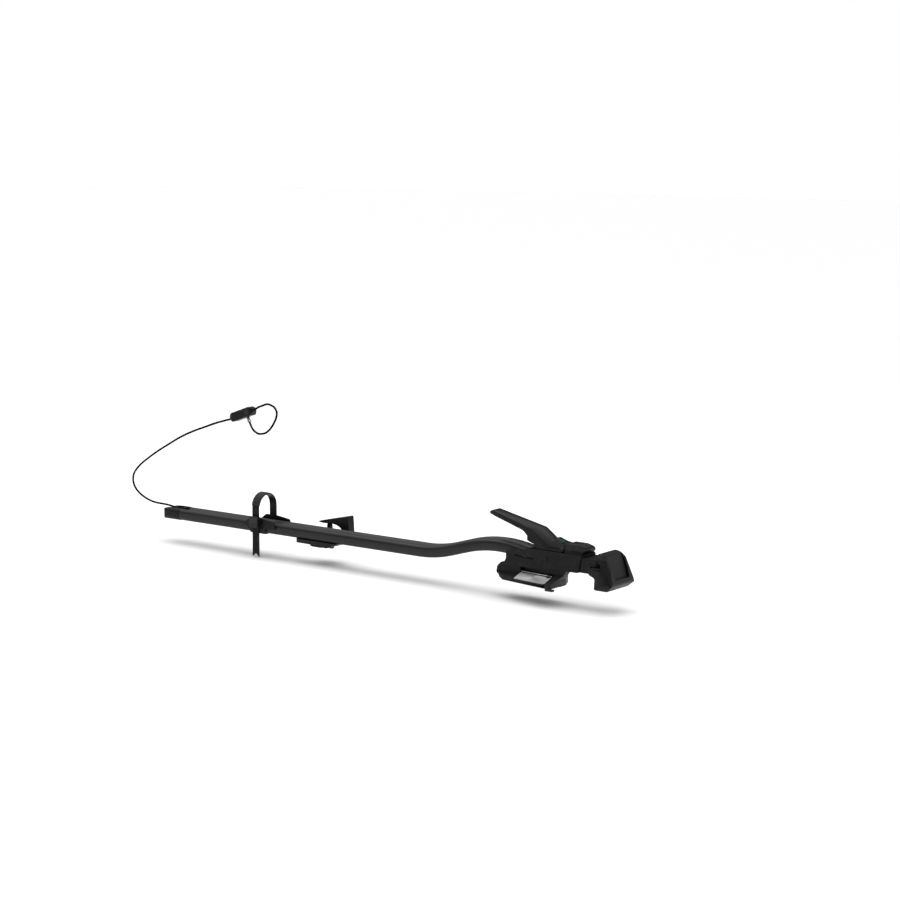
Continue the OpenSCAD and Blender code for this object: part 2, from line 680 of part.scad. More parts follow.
module clamp_lever() {
    slot = yoke_t / 2 + gap;
    color(plastic) difference() {
        union() {
            intersection() {
                lever_profile();
                lever_plan(lever_w, lever_tip_w, tip_x);
                lever_crown();
                lever_slope();
            }
            lever_ridge();
            lever_tongue();
        }
        intersection() {
            translate([0, 0, -2 * lever_wall]) lever_profile();
            lever_plan(lever_w - 2 * lever_wall, lever_tip_w - 2 * lever_wall, tip_x + 12);
            box(tip_x, lever_neck_x + 20, -lever_w, lever_w, 0, far);
        }
        for (s = [-1, 1]) {
            y0 = (s > 0 ? lug_in : -lug_in - lug_t) - gap;
            rod_y(knuckle_r + gap, y0, y0 + lug_t + 2 * gap, pivot_x, pivot_z);
            box(pivot_x - knuckle_r - gap, pivot_x + knuckle_r + 1, y0, y0 + lug_t + 2 * gap, 0, pivot_z);
            box(pivot_x - 6, pivot_x + knuckle_r + 1, y0, y0 + lug_t + 2 * gap, pivot_z, far);
        }
        rod_y(pivot_r + fit, -lever_w, lever_w, pivot_x, pivot_z);
        cam_band(drive_r + gap, -8, lever_open + 13);
        box(drive_x - 6.5, pivot_x + knuckle_r + 1, -slot, slot, 0, pivot_z + 5.5);
        indicator_shape(0.1, 6);
    }
}

// Green indicator set in the front slope of the lever
module indicator_shape(g, rise) {
    translate([slope_x, 3, slope_z]) rotate([0, indicator_a, 0])
        plan([[-g, -6 - g, 2], [22 + g, -6 - g, 2], [22 + g, 6 + g, 2], [-g, 6 + g, 2]], -4 - g, rise);
}
module tension_indicator() {
    color(indicator_green) indicator_shape(0, 0.8);
}

// Lock housing under the lever, with its key core
module lever_catch() {
    x0 = lever_neck_x + 5;
    slope = (lever_neck_z - head_z - 8) / (lever_heel_x - 6 - lever_neck_x);
    color(plastic) difference() {
        side([[x0, core_z - core_r - 2, 1.5], [x0 + 14, head_z + 9, 3], [lever_heel_x - 8, head_z + 9, 1],
            [x0, head_z + 8 + (lever_heel_x - 6 - x0) * slope, 0]], -catch_w / 2, catch_w / 2);
        rod_x(core_r + fit, x0 - 1, x0 + core_l, 0, core_z);
    }
}
module lever_lock_core() {
    x0 = lever_neck_x + 5;
    color(steel) difference() {
        union() {
            rod_x(core_r, x0 - 3, x0 + core_l - gap, 0, core_z);
            rod_x(core_r + 1.5, x0 - 5, x0 - gap, 0, core_z);
        }
        box(x0 - 6, x0 - 2, -0.6, 0.6, core_z - 3.2, core_z + 3.2);
    }
}
module lever_pivot_pin() {
    color(steel) rod_y(pivot_r, -lever_w / 2 + 1, lever_w / 2 - 1, pivot_x, pivot_z);
}
module lever_drive_pin() {
    color(steel) rod_y(drive_r, -tongue_w / 2 + 0.2, tongue_w / 2 - 0.2, drive_x, drive_z);
}

// Front foot: a core under the head and a wing on the lever side
module foot_profile(y0, y1) {
    side([[-foot_back + 28, rim_gap, 8], [-foot_back, 13, 7], [-foot_back + 3, 30, 12],
        [-foot_back + 14, deck_z, 0], [foot_front + 16, deck_z, 0], [foot_front + 12, 31, 10],
        [foot_front, 15, 10], [foot_front, rim_gap, 2]], y0, y1);
}
module on_wing() {
    translate([flip_x, flip_y, flip_z]) rotate([0, 0, -flip_yaw]) children();
}
// The pad follows the cut front corner of the foot
module front_pad(g) {
    x1 = pad_l / 2 - 3 + g;
    x0 = -pad_l / 2 - g;
    y1 = pad_w / 2 + g;
    plan([[x0, -y1, 4], [x1, -y1, 4], [x1, -4, 6], [x1 - 14, y1, 3], [x0, y1, 4]], 0, pad_t);
}
module front_foot() {
    half = head_w / 2;
    color(plastic) difference() {
        union() {
            foot_profile(-half + 1, half - 1);
            intersection() {
                foot_profile(-wing_front, 0);
                plan([[-foot_back, -24, 0], [-foot_back + 16, -wing_back + 4, 14],
                    [-foot_back + 32, -wing_back, 40], [foot_front, -wing_front, 5],
                    [foot_front + 20, -half, 0], [foot_front + 20, 0, 0], [-foot_back, 0, 0]],
                    rim_gap, deck_z);
                on_wing() rotate([flip_tilt, 0, 0]) box(-far, far, -far, far, -far, flip_t / 2 - 1);
            }
        }
        on_wing() {
            rotate([flip_tilt, 0, 0])
                box(-flip_l / 2 - 1, flip_l / 2 + 1, -flip_w - 4.5, 0, -flip_t / 2 - flip_drop - 0.5, 30);
            box(-flip_l / 2 - 1.2, flip_l / 2 + 1.2, -flip_w / 3, flip_eye_r + 1.2, 0.2, 13);
            rod_x(flip_eye_r + 1, -flip_l / 2 - 0.8, flip_l / 2 + 0.8, 0, 0);
            rod_x(flip_eye_r + 0.9, -flip_l / 2 - 0.6, flip_l / 2 + 0.6, 0, -flip_drop);
            box(-flip_l / 2 - 0.7, flip_l / 2 + 0.7, -flip_eye_r - 0.5, flip_eye_r + 0.5, -flip_drop, 0.4);
            box(flip_bolt_x - 6, flip_bolt_x + 6, -6.5, 6.5, -flip_drop - 7, 13);
            rod_z(bolt_r + 0.4, -far, 0, flip_bolt_x, 0);
        }
        plan([[foot_front + 3, -10, 0], [foot_front + 60, -10, 0], [foot_front + 60, half + 5, 0],
            [foot_front - 19, half + 5, 0]], 0, deck_z - 6.5);
        front_pad(gap);
        for (p = screw_places) {
            rod_z(screw_head_r + gap, 0, screw_seat_z, p.x, p.y);
            rod_z(screw_r + fit, 0, deck_z + 1, p.x, p.y);
        }
    }
}
module front_foot_pad() {
    color(rubber) front_pad(0);
}
module head_screws() {
    color(steel) for (p = screw_places) difference() {
        union() {
            rod_z(screw_head_r, screw_seat_z - 3, screw_seat_z, p.x, p.y);
            rod_z(screw_r, screw_seat_z, deck_z + screw_bite, p.x, p.y);
        }
        translate([p.x, p.y, screw_seat_z - 4]) cylinder(r = 2.3, h = 2.8, $fn = 6);
    }
}

// Foot lever: a bright plate that pulls the T-bolt up when it is pressed flat
module foot_lever() {
    color(steel) on_wing() difference() {
        union() {
            rotate([flip_tilt, 0, 0]) {
                plan([[-flip_l / 2, -flip_w, 5], [flip_l / 2, -flip_w, 5], [flip_l / 2, 0, 0],
                    [-flip_l / 2, 0, 0]], -flip_t / 2, flip_t / 2);
                rod_x(flip_t / 2 + 1, -flip_l / 2 + 4, flip_l / 2 - 4, -flip_w + 2.2, -0.5);
            }
            rod_x(flip_eye_r, -flip_l / 2 + 0.4, flip_l / 2 - 0.4, 0, 0);
        }
        rod_x(flip_pin_r + fit, -far, far, 0, 0);
        box(flip_bolt_x - 5.5, flip_bolt_x + 5.5, -7, 7, -10, 10);
    }
}
module foot_lever_pin() {
    color(steel) on_wing() rod_x(flip_pin_r, -flip_l / 2 + 2, flip_l / 2 - 2, 0, 0);
}
module t_head(x, y) {
    box(x - t_head_w / 2, x + t_head_w / 2, y - 4.5, y + 4.5, -t_head_z, -t_head_z + 4);
}
module front_t_bolt() {
    color(steel) {
        on_wing() difference() {
            union() {
                rod_x(flip_eye_r + 1, flip_bolt_x - 5, flip_bolt_x + 5, 0, 0);
                rod_z(bolt_r, -flip_z - t_head_z + 3, 0, flip_bolt_x, 0);
            }
            rod_x(flip_pin_r + fit, -far, far, 0, 0);
        }
        t_head(flip_x + flip_bolt_x * cos(flip_yaw), flip_y - flip_bolt_x * sin(flip_yaw));
    }
}

// Rear foot: a plate under the tray on a base across the crossbar, with the posts of its lever
module rear_foot() {
    x0 = bar_x - rear_back;
    x1 = x0 + rear_l;
    half = rear_w / 2;
    y1 = rear_y + rear_lever_w / 2 + 1;
    color(plastic) difference() {
        union() {
            intersection() {
                side([[x0, 9.5, 4], [x1, 8.5, 4], [x1 + 27, plate_top - 0.6, 0], [x1 + 27, plate_top, 0],
                    [x0, plate_top, 4]], -half, half);
                plan([[x0, -half, 16], [x1 + 28, -half, 8], [x1 + 28, half, 8], [x0, half, 16]], 0, far);
            }
            intersection() {
                side([[bar_x - 20, rim_gap, 4], [bar_x + 38, rim_gap, 4], [bar_x + 40, base_z, 3],
                    [bar_x - 18, base_z, 3]], -base_y, y1);
                plan([[bar_x - 21, -base_y, 6], [bar_x + 41, -base_y, 6], [bar_x + 41, y1, 10],
                    [bar_x - 21, y1, 10]], 0, far);
            }
            for (y = [rear_y - rear_lever_w / 2, rear_y + rear_lever_w / 2 - rear_wall])
                side([[rear_bolt_x - 2, base_z - 1, 0], [rear_bolt_x + rear_post + 6, base_z - 1, 0],
                    [rear_bolt_x + rear_post, rear_saddle_z, 3], [rear_bolt_x - 2, rear_saddle_z, 3]],
                    y, y + rear_wall);
        }
        translate([0, 0, -1]) rear_pad(gap, pad_t + 1);
        box(rear_bolt_x - rear_post - 0.4, rear_bolt_x + rear_post + 0.4, rear_y - 5, rear_y + 5,
            base_z - rear_drop - 3.5, far);
        rod_z(bolt_r + 0.4, -1, far, rear_bolt_x, rear_y);
    }
}
module rear_pad(g, t) {
    hl = rear_pad_l / 2 + g;
    y0 = -base_y + 2 - g;
    y1 = y0 + rear_pad_w + 2 * g;
    plan([[bar_x - hl, y0, 4], [bar_x + hl, y0, 4], [bar_x + hl, y1, 4], [bar_x - hl, y1, 4]], 0, t);
}
module rear_foot_pad() {
    color(rubber) rear_pad(0, pad_t);
}
module rear_runner() {
    low = tray_z + tray_wall + gap;
    color(plastic) {
        box(bar_x - 26, bar_x + 34, -slot_w / 2 + gap, slot_w / 2 - gap, plate_top, low + 1);
        plan([[bar_x - 28, -14, 4], [bar_x + 36, -14, 4], [bar_x + 36, 14, 4], [bar_x - 28, 14, 4]],
            low, low + 7);
    }
}
module rear_lever() {
    x = rear_bolt_x;
    z = rear_pivot_z;
    y0 = rear_y - rear_lever_w / 2;
    y1 = rear_y + rear_lever_w / 2;
    grip_z = plate_top + 3;
    color(plastic) difference() {
        intersection() {
            side([[x - 30, z - 1.3, 0.8], [x + 67, z + 20.8, 4], [x + 70, z - 15, 60], [x + 68, grip_z, 5],
                [x + 48, grip_z, 5], [x + 48, z - 14, 12], [x + 40, z - 9, 12], [x + 30, z - 4.6, 20],
                [x + 16, z - 2.8, 10], [x + 6, z - 3.8, 3], [x - 14, z - 4, 6],
                [x - 29, z - 3.4, 0.8]], y0, y1);
            plan([[x - 31, y0 + 4, 4], [x - 16, y0, 20], [x + 72, y0, 4], [x + 72, y1, 4], [x - 16, y1, 20],
                [x - 31, y1 - 4, 4]], 0, far);
        }
        side([[x - 13, 0, 0], [x + 6.5, 0, 0], [x + 6.5, z - 1, 0], [x + 4.2, z + 4.1, 0],
            [x - 4.2, z + 4.1, 0], [x - 13, z, 0]], rear_y - 5, rear_y + 5);
        side([[x + 52, 0, 0], [x + 64, 0, 0], [x + 65, z - 15, 20], [x + 62, z + 15, 5], [x + 32, z + 7, 2],
            [x + 32, z + 1, 1.5], [x + 52, z - 9, 12]], y0 + 3, y1 - 3);
        rod_y(rear_pin_r + fit, -far, far, x, z);
    }
}
module rear_lever_pin() {
    color(steel) rod_y(rear_pin_r, rear_y - rear_lever_w / 2 + 1, rear_y + rear_lever_w / 2 - 1,
        rear_bolt_x, rear_pivot_z);
}
module rear_t_bolt() {
    x = rear_bolt_x;
    z = rear_pivot_z;
    color(plastic) difference() {
        union() {
            rod_y(rear_eye_r, rear_y - 4.5, rear_y + 4.5, x, z);
            side([[x - rear_post, base_z - 2.5, 0], [x + rear_post, base_z - 2.5, 0],
                [x + rear_post, z - 9.5, 1], [x + 4, z - 5.5, 1], [x + 3, z - 1, 0], [x - 3, z - 1, 0],
                [x - 4, z - 5.5, 1], [x - rear_post, z - 9.5, 1]], rear_y - 4.4, rear_y + 4.4);
            rod_z(bolt_r, -t_head_z + 3, base_z, x, rear_y);
            t_head(x, rear_y);
        }
        rod_y(rear_pin_r + fit, -far, far, x, z);
    }
}

// Strap carriage: a saddle round the tray that carries the wheel strap
module strap_carriage() {
    low = tray_z - gap - carriage_wall;
    inner = tray_w / 2 + gap;
    top = tray_top_z + 9;
    wing = tray_z + 14;
    x0 = strap_x - carriage_back;
    x1 = strap_x + carriage_front;
    color(plastic) difference() {
        intersection() {
            side([[strap_x - 22, low, 3], [strap_x + 26, low, 3], [strap_x + 30, wing, 6], [x1, wing, 2],
                [x1 - 4, wing + 18, 4], [strap_x + 14, top, 10], [strap_x - 20, top, 8], [x0, wing + 6, 2],
                [strap_x - 30, wing, 4], [strap_x - 26, wing - 4, 4]], -arch_y, arch_y);
            front([[-arch_y, low, 9], [arch_y, low, 9], [arch_y, top, 0], [-arch_y, top, 0]],
                x0 - 1, x1 + 1);
        }
        translate([strap_x - far / 2, 0, line_z]) along_x(far)
            round_rect(tray_w + 2 * gap, tray_h + 2 * gap, tray_r);
        box(strap_x - far / 2, strap_x + far / 2, -inner, inner, line_z, far);
        for (s = [-1, 1]) rod_y(3, -far, far, strap_x + s * (strap_w / 2 + 9), tray_z + 15);
    }
}
module arch(g, z0, width) {
    w = arch_y + g;
    front([[-w, z0, 0], [w, z0, 0], [w, arch_z + g, arch_r + g], [-w, arch_z + g, arch_r + g]],
        strap_x - width / 2, strap_x + width / 2);
}
module wheel_strap() {
    tail_v = 8;
    color(rubber) difference() {
        arch(strap_t, tail_z, strap_w);
        arch(0, tail_z - 1, strap_w + 2);
        box(strap_x - strap_w, strap_x + strap_w, 0, far, tail_z - 1, tray_z + 6);
        translate([0, -strap_out - 1, 0]) side([[strap_x - strap_w / 2 - 1, tail_z - 1, 0],
            [strap_x + strap_w / 2 + 1, tail_z - 1, 0], [strap_x, tail_z + tail_v, 0]], 0, strap_t + 2);
        for (z = [tail_z + tail_v + 4:tooth_pitch:arch_z - arch_r])
            box(strap_x - strap_w / 2 + 2.5, strap_x + strap_w / 2 - 2.5, -strap_out - 1, -strap_out + 1,
                z, z + tooth_pitch / 2);
    }
}
module rim_pad() {
    cover = 1.2;
    color(buckle_grey) difference() {
        intersection() {
            arch(strap_t + cover, 0, strap_w + 2);
            box(strap_x - strap_w, strap_x + strap_w, -far, 3, arch_z - arch_r + 4, far);
        }
        arch(-cover, 0, strap_w + 4);
        difference() {
            arch(strap_t + fit, 0, strap_w + 0.1);
            arch(-fit, 0, strap_w + 0.2);
        }
    }
}

// Buckle: two cheeks on the carriage, a sprung tab on a pin
module buckle_body() {
    color(plastic) difference() {
        for (s = [-1, 1]) {
            x0 = strap_x + (s > 0 ? strap_w / 2 + 0.4 : -strap_w / 2 - 0.4 - 2.2);
            front([[-arch_y, buckle_pin_z - 14, 0], [-arch_y, buckle_pin_z + 8, 0],
                [buckle_pin_y + 0.6, buckle_pin_z + 8, 1],
                [buckle_pin_y - buckle_cheek, buckle_pin_z - 0.5, 0],
                [buckle_pin_y - buckle_cheek, buckle_pin_z - 10, 4]], x0, x0 + 2.2);
        }
        rod_x(buckle_pin_r + fit, strap_x - 50, strap_x + 50, buckle_pin_y, buckle_pin_z);
    }
}
module buckle_tab() {
    inner = strap_w / 2 - 0.2;
    y1 = buckle_pin_y - buckle_cheek - gap;
    z0 = buckle_pin_z - tab_h + 10;
    z1 = buckle_pin_z + 10;
    color(buckle_grey) difference() {
        union() {
            intersection() {
                front([[y1 - 4.5, z0, 0], [y1 - 2, z0, 0], [y1, z0 + 8, 6], [y1, z1, 0], [y1 - 1.5, z1, 0],
                    [y1 - 3, z1 - 3, 2], [y1 - 3, z0 + 9, 8]], strap_x - tab_w / 2, strap_x + tab_w / 2);
                side([[strap_x - tab_w / 2, z0, 5], [strap_x + tab_w / 2, z0, 5],
                    [strap_x + tab_w / 2, z1, 3], [strap_x - tab_w / 2, z1, 3]], y1 - 5, y1 + 1);
            }
            rod_x(buckle_eye_r, strap_x - inner, strap_x + inner, buckle_pin_y, buckle_pin_z);
        }
        rod_x(buckle_pin_r + fit, strap_x - 50, strap_x + 50, buckle_pin_y, buckle_pin_z);
    }
}
module buckle_pin() {
    color(steel) rod_x(buckle_pin_r, strap_x - strap_w / 2 - 2.6, strap_x + strap_w / 2 + 2.6, buckle_pin_y,
        buckle_pin_z);
}

// Lock cable: a tube swept along a smooth curve through its route points
function smooth(a, b, c, d, t) =
    0.5 * (2 * b + (c - a) * t + (2 * a - 5 * b + 4 * c - d) * t * t + (3 * b - a - 3 * c + d) * t * t * t);
function curve(p) =
    let (n = len(p) - 1)
    [for (i = [0:n - 1])
        let (k = max(1, round(norm(p[i + 1] - p[i]) / (2.6 * cable_d))), a = p[max(0, i - 1)],
            d = p[min(n, i + 2)])
        for (j = [0:k - (i == n - 1 ? 0 : 1)]) smooth(a, p[i], p[i + 1], d, j / k)];
function heading(q, i) = unit(q[min(len(q) - 1, i + 1)] - q[max(0, i - 1)]);
module tube(route, r) {
    q = curve(route);
    n = len(q);
    m = 8;
    pts = [for (i = [0:n - 1])
        let (t = heading(q, i), u = unit(cross(t, [0, 1, 0])), v = cross(t, u))
        for (j = [0:m - 1]) q[i] + r * (cos(360 * j / m) * u + sin(360 * j / m) * v)];
    walls = [for (i = [0:n - 2], j = [0:m - 1])
        let (a = i * m + j, b = i * m + (j + 1) % m)
        each [[a, b, b + m], [a, b + m, a + m]]];
    ends = [[for (j = [m - 1:-1:0]) j], [for (j = [0:m - 1]) (n - 1) * m + j]];
    polyhedron(points = pts, faces = concat(walls, ends));
}
module lock_cable_lead() {
    color(plastic) tube(lead_route, cable_d / 2);
}
module lock_cable_loop() {
    color(plastic) tube(loop_route, cable_d / 2);
}
module at_lock() {
    translate(lock_p) rotate([0, -lock_a, 0]) children();
}
module at_plug() {
    d = unit(plug_dir);
    translate(loop_route[len(loop_route) - 1]) rotate([0, acos(d.z), atan2(d.y, d.x)]) children();
}
module cable_lock_body() {
    l = lock_l / 2;
    h = lock_h / 2;
    w = lock_t / 2;
    color(plastic) difference() {
        at_lock() intersection() {
            side([[-l, -h + 8, 3], [-l + 10, -h, 4], [l - 10, -h, 4], [l, -h + 8, 3], [l, h - 8, 3],
                [l - 12, h, 4], [-l + 12, h, 4], [-l, h - 8, 3]], -w, w);
            plan([[-l, -w + 4, 0], [-l + 8, -w, 6], [l - 8, -w, 6], [l, -w + 4, 0], [l, w - 4, 0],
                [l - 8, w, 6], [-l + 8, w, 6], [-l, w - 4, 0]], -h - 1, h + 1);
        }
        at_lock() rod_y(lock_core_r + fit, -far, -w + lock_core_l, lock_core_x, 0);
        at_plug() rod_z(plug_r + fit, -far, plug_len + gap, 0, 0);
    }
}
module cable_lock_core() {
    w = lock_t / 2;
    color(steel) at_lock() difference() {
        rod_y(lock_core_r, -w - 0.8, -w + lock_core_l - gap, lock_core_x, 0);
        box(lock_core_x - 0.6, lock_core_x + 0.6, -w - 2, -w + 1, -3.5, 3.5);
    }
}
module cable_plug() {
    color(steel) at_plug() {
        rod_z(plug_r, 0, plug_len, 0, 0);
        rod_z(plug_r + 0.8, 0, 5, 0, 0);
    }
}

wheel_tray();
tray_end_cap();
cable_grommet();
tray_socket();
head_block();
nose_cover();
rear_jaw();
rear_jaw_pad();
front_foot();
front_foot_pad();
head_screws();
lever_pivot_pin();
clamp_lever();
lever_catch();
lever_lock_core();
tension_indicator();
lever_drive_pin();
front_jaw();
jaw_liner();
guide_rods();
draw_bar();
draw_yoke();
foot_lever();
foot_lever_pin();
front_t_bolt();
rear_foot();
rear_foot_pad();
rear_runner();
rear_lever();
rear_lever_pin();
rear_t_bolt();
strap_carriage();
wheel_strap();
rim_pad();
buckle_body();
buckle_tab();
buckle_pin();
lock_cable_lead();
lock_cable_loop();
cable_lock_body();
cable_lock_core();
cable_plug();
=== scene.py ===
import json
import math

import bmesh
import bpy
from mathutils import Matrix, Vector


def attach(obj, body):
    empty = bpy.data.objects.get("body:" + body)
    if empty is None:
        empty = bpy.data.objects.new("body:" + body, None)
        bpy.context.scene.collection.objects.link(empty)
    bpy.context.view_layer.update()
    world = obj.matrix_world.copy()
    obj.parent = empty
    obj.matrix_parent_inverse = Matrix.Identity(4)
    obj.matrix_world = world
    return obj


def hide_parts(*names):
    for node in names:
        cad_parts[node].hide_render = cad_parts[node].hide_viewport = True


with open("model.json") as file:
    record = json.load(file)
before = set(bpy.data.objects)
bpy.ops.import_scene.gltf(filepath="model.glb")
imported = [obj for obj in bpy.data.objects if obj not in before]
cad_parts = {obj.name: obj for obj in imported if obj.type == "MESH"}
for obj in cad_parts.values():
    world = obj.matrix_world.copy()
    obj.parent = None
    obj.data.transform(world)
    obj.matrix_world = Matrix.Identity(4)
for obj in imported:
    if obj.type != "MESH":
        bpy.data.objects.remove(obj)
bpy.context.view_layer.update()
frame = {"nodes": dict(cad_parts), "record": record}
NODES = frame["nodes"]
RECORD = frame["record"]
SLOT_OF = {sub["node"]: sub["material_slot"] for sub in RECORD["subparts"]}
BODY_OF = {node: body for body, nodes in RECORD["behaviour"]["bodies"].items() for node in nodes}
SCENE = bpy.context.scene
MM = 0.001

# Camera, fitted to the photograph
CAMERA_PLACE = Vector((2.61096, -3.85870, 0.99344))
AZIMUTH = math.radians(37.12)
ELEVATION = math.radians(8.41)
ROLL = math.radians(0.23)
LENS = 84.18
SENSOR = 36.0

# Lock cable: the route of the CAD tubes, in millimetres
CABLE_D = 5.0
GROMMET = Vector((-1174.0, 0.0, 42.0))
LOCK_MIDDLE = Vector((-896.0, -70.0, 321.5))
LOCK_LENGTH = 82.0
LOCK_TILT = math.radians(19.7)
LOCK_HALF = Vector((math.cos(LOCK_TILT), 0.0, math.sin(LOCK_TILT))) * (LOCK_LENGTH / 2)
LEAD_ROUTE = [
    GROMMET, GROMMET + Vector((-12, 0, 0)), (-1204, 0, 46), (-1226, 0, 49), (-1250, 0, 50),
    (-1272, -1, 51), (-1293, -2, 55), (-1312, -5, 63), (-1328, -8, 74), (-1339, -11, 89),
    (-1341, -14, 106), (-1334, -17, 124), (-1316, -20, 142), (-1290, -24, 160), (-1238, -31, 190),
    (-1188, -38, 215), (-1138, -45, 239), (-1088, -52, 259), (-1040, -58, 275), (-994, -64, 290),
    (-954, -69, 301), LOCK_MIDDLE - LOCK_HALF - Vector((0, 0, 2)),
]
LOOP_ROUTE = [
    LOCK_MIDDLE + LOCK_HALF, (-846, -69, 342), (-834, -65, 347), (-827, -61, 350), (-820, -56, 349),
    (-811, -49, 342), (-807, -45, 328), (-809, -49, 310), (-815, -58, 292), (-821, -63, 284),
    (-828, -66, 279), (-844, -71, 277), (-859, -73, 285), (-869, -72, 297), (-873, -71, 303),
]


def make_camera():
    back = Vector((math.sin(AZIMUTH) * math.cos(ELEVATION), -math.cos(AZIMUTH) * math.cos(ELEVATION),
                   math.sin(ELEVATION)))
    right = Vector((math.cos(AZIMUTH), math.sin(AZIMUTH), 0.0))
    up = back.cross(right)
    c = math.cos(ROLL)
    s = math.sin(ROLL)
    right, up = c * right + s * up, c * up - s * right
    data = bpy.data.cameras.new("camera")
    data.lens = LENS
    data.sensor_width = SENSOR
    data.sensor_fit = "HORIZONTAL"
    data.clip_end = 100.0
    camera = bpy.data.objects.new("camera", data)
    turn = Matrix((right, up, back)).transposed().to_4x4()
    camera.matrix_world = Matrix.Translation(CAMERA_PLACE) @ turn
    SCENE.collection.objects.link(camera)
    SCENE.camera = camera


# Materials: the directions that two faces look in, the colours shared by several, and the reach of the
# painted shade in seams
LEVER_FACE = (-0.0476, -0.3878, 0.9205)
JAW_PANEL_FACE = (0.930, 0.0, 0.366)
HEAD_BLACK = (0.0034, 0.0034, 0.0036)
HEAD_ROUGHNESS = 0.42
HEAD_SHEEN = 0.16
STRAP_BLACK = (0.0030, 0.0030, 0.0032)
# The jaw panel's lighter colour: partly a satin panel, partly painted light
PANEL_BLACK_AND_LIGHT = (0.018, 0.018, 0.019)
# Black of the foot lever's edges and underside: partly the lever's own colour, partly painted shade under
# the bright plate's edge
LEVER_EDGE_BLACK_AND_SHADE = (0.006, 0.006, 0.006)
INDICATOR_GREEN = (0.001, 0.052, 0.029)
FINE_GRAIN = 2600.0
# Painted shade: how far from a seam or corner the plastic's reflection is dimmed
SEAM_SHADE_REACH = 0.010
WORN_FROM = 0.515
WORN_FULLY = 0.56


def shader_tree(name):
    material = bpy.data.materials.new(name)
    material.use_nodes = True
    tree = material.node_tree
    return material, tree, tree.nodes["Principled BSDF"]


def add_node(tree, kind, **inputs):
    node = tree.nodes.new(kind)
    for key, value in inputs.items():
        node.inputs[key.replace("_", " ")].default_value = value
    return node


def object_coords(tree, stretch=(1.0, 1.0, 1.0)):
    coords = tree.nodes.new("ShaderNodeTexCoord")
    mapping = tree.nodes.new("ShaderNodeMapping")
    mapping.inputs["Scale"].default_value = stretch
    tree.links.new(coords.outputs["Object"], mapping.inputs["Vector"])
    return mapping.outputs["Vector"]


def noise(tree, vector, scale, detail=4.0, roughness=0.55):
    node = add_node(tree, "ShaderNodeTexNoise", Scale=scale, Detail=detail, Roughness=roughness)
    tree.links.new(vector, node.inputs["Vector"])
    return node.outputs["Fac"]


def ramp(tree, value, low, high, out_low, out_high):
    node = add_node(tree, "ShaderNodeMapRange", From_Min=low, From_Max=high,
                    To_Min=out_low, To_Max=out_high)
    tree.links.new(value, node.inputs["Value"])
    return node.outputs["Result"]


def total(tree, first, second):
    node = tree.nodes.new("ShaderNodeMath")
    node.operation = "ADD"
    tree.links.new(first, node.inputs[0])
    tree.links.new(second, node.inputs[1])
    return node.outputs["Value"]


def facing(tree, direction, low, high):
    """One where the surface looks along a direction of the shared frame, and nought away from it."""
    coords = tree.nodes.new("ShaderNodeTexCoord")
    dot = tree.nodes.new("ShaderNodeVectorMath")
    dot.operation = "DOT_PRODUCT"
    dot.inputs[1].default_value = direction
    tree.links.new(coords.outputs["Normal"], dot.inputs[0])
    return ramp(tree, dot.outputs["Value"], low, high, 0.0, 1.0)


def blend_colour(tree, factor, first, second):
    node = tree.nodes.new("ShaderNodeMix")
    node.data_type = "RGBA"
    tree.links.new(factor, node.inputs["Factor"])
    for socket, colour in ((node.inputs["A"], first), (node.inputs["B"], second)):
        if isinstance(colour, tuple):
            socket.default_value = (*colour, 1.0)
        else:
            tree.links.new(colour, socket)
    return node.outputs["Result"]


def bump(tree, shader, height, strength, distance):
    node = add_node(tree, "ShaderNodeBump", Strength=strength, Distance=distance)
    tree.links.new(height, node.inputs["Height"])
    tree.links.new(node.outputs["Normal"], shader.inputs["Normal"])


def painted_seam_shade(tree, reach):
    """How open a place is: one on a free face, less in seams and corners; it paints shade into seams and
    corners by dimming the reflection there.
    """
    node = add_node(tree, "ShaderNodeAmbientOcclusion", Distance=reach)
    node.samples = 8
    return node.outputs["AO"]


def edge_wear(tree, vector):
    """One on rubbed edges, in patches, and nought elsewhere."""
    geometry = tree.nodes.new("ShaderNodeNewGeometry")
    sharp = ramp(tree, geometry.outputs["Pointiness"], WORN_FROM, WORN_FULLY, 0.0, 1.0)
    patchy = ramp(tree, noise(tree, vector, 120.0), 0.4, 0.65, 0.0, 1.0)
    product = tree.nodes.new("ShaderNodeMath")
    product.operation = "MULTIPLY"
    tree.links.new(sharp, product.inputs[0])
    tree.links.new(patchy, product.inputs[1])
    return product.outputs["Value"]


def moulded(name, colour, roughness, specular, grain=1800.0, depth=0.00006):
    """Moulded plastic: spark-eroded grain, faint flow marks, edges rubbed a little lighter, and painted
    shade in seams and corners, where the reflection is dimmed.
    """
    material, tree, shader = shader_tree(name)
    vector = object_coords(tree)
    flow = noise(tree, vector, 14.0, 5.0)
    darker = tuple(0.8 * c for c in colour)
    lighter = tuple(1.25 * c for c in colour)
    rubbed = tuple(c + 0.01 for c in colour)
    base = blend_colour(tree, ramp(tree, flow, 0.3, 0.7, 0.0, 1.0), darker, lighter)
    base = blend_colour(tree, edge_wear(tree, vector), base, rubbed)
    tree.links.new(base, shader.inputs["Base Color"])
    spots = noise(tree, vector, 260.0, 3.0)
    rough = ramp(tree, spots, 0.25, 0.75, roughness - 0.06, roughness + 0.06)
    tree.links.new(rough, shader.inputs["Roughness"])
    # Painted shade: the reflection is dimmed in seams, corners and gaps between parts, where shade falls
    seam_shaded_sheen = ramp(tree, painted_seam_shade(tree, SEAM_SHADE_REACH), 0.35, 0.85, 0.0, specular)
    tree.links.new(seam_shaded_sheen, shader.inputs["Specular IOR Level"])
    bump(tree, shader, noise(tree, vector, grain, 2.0), 0.35, depth)
    return material


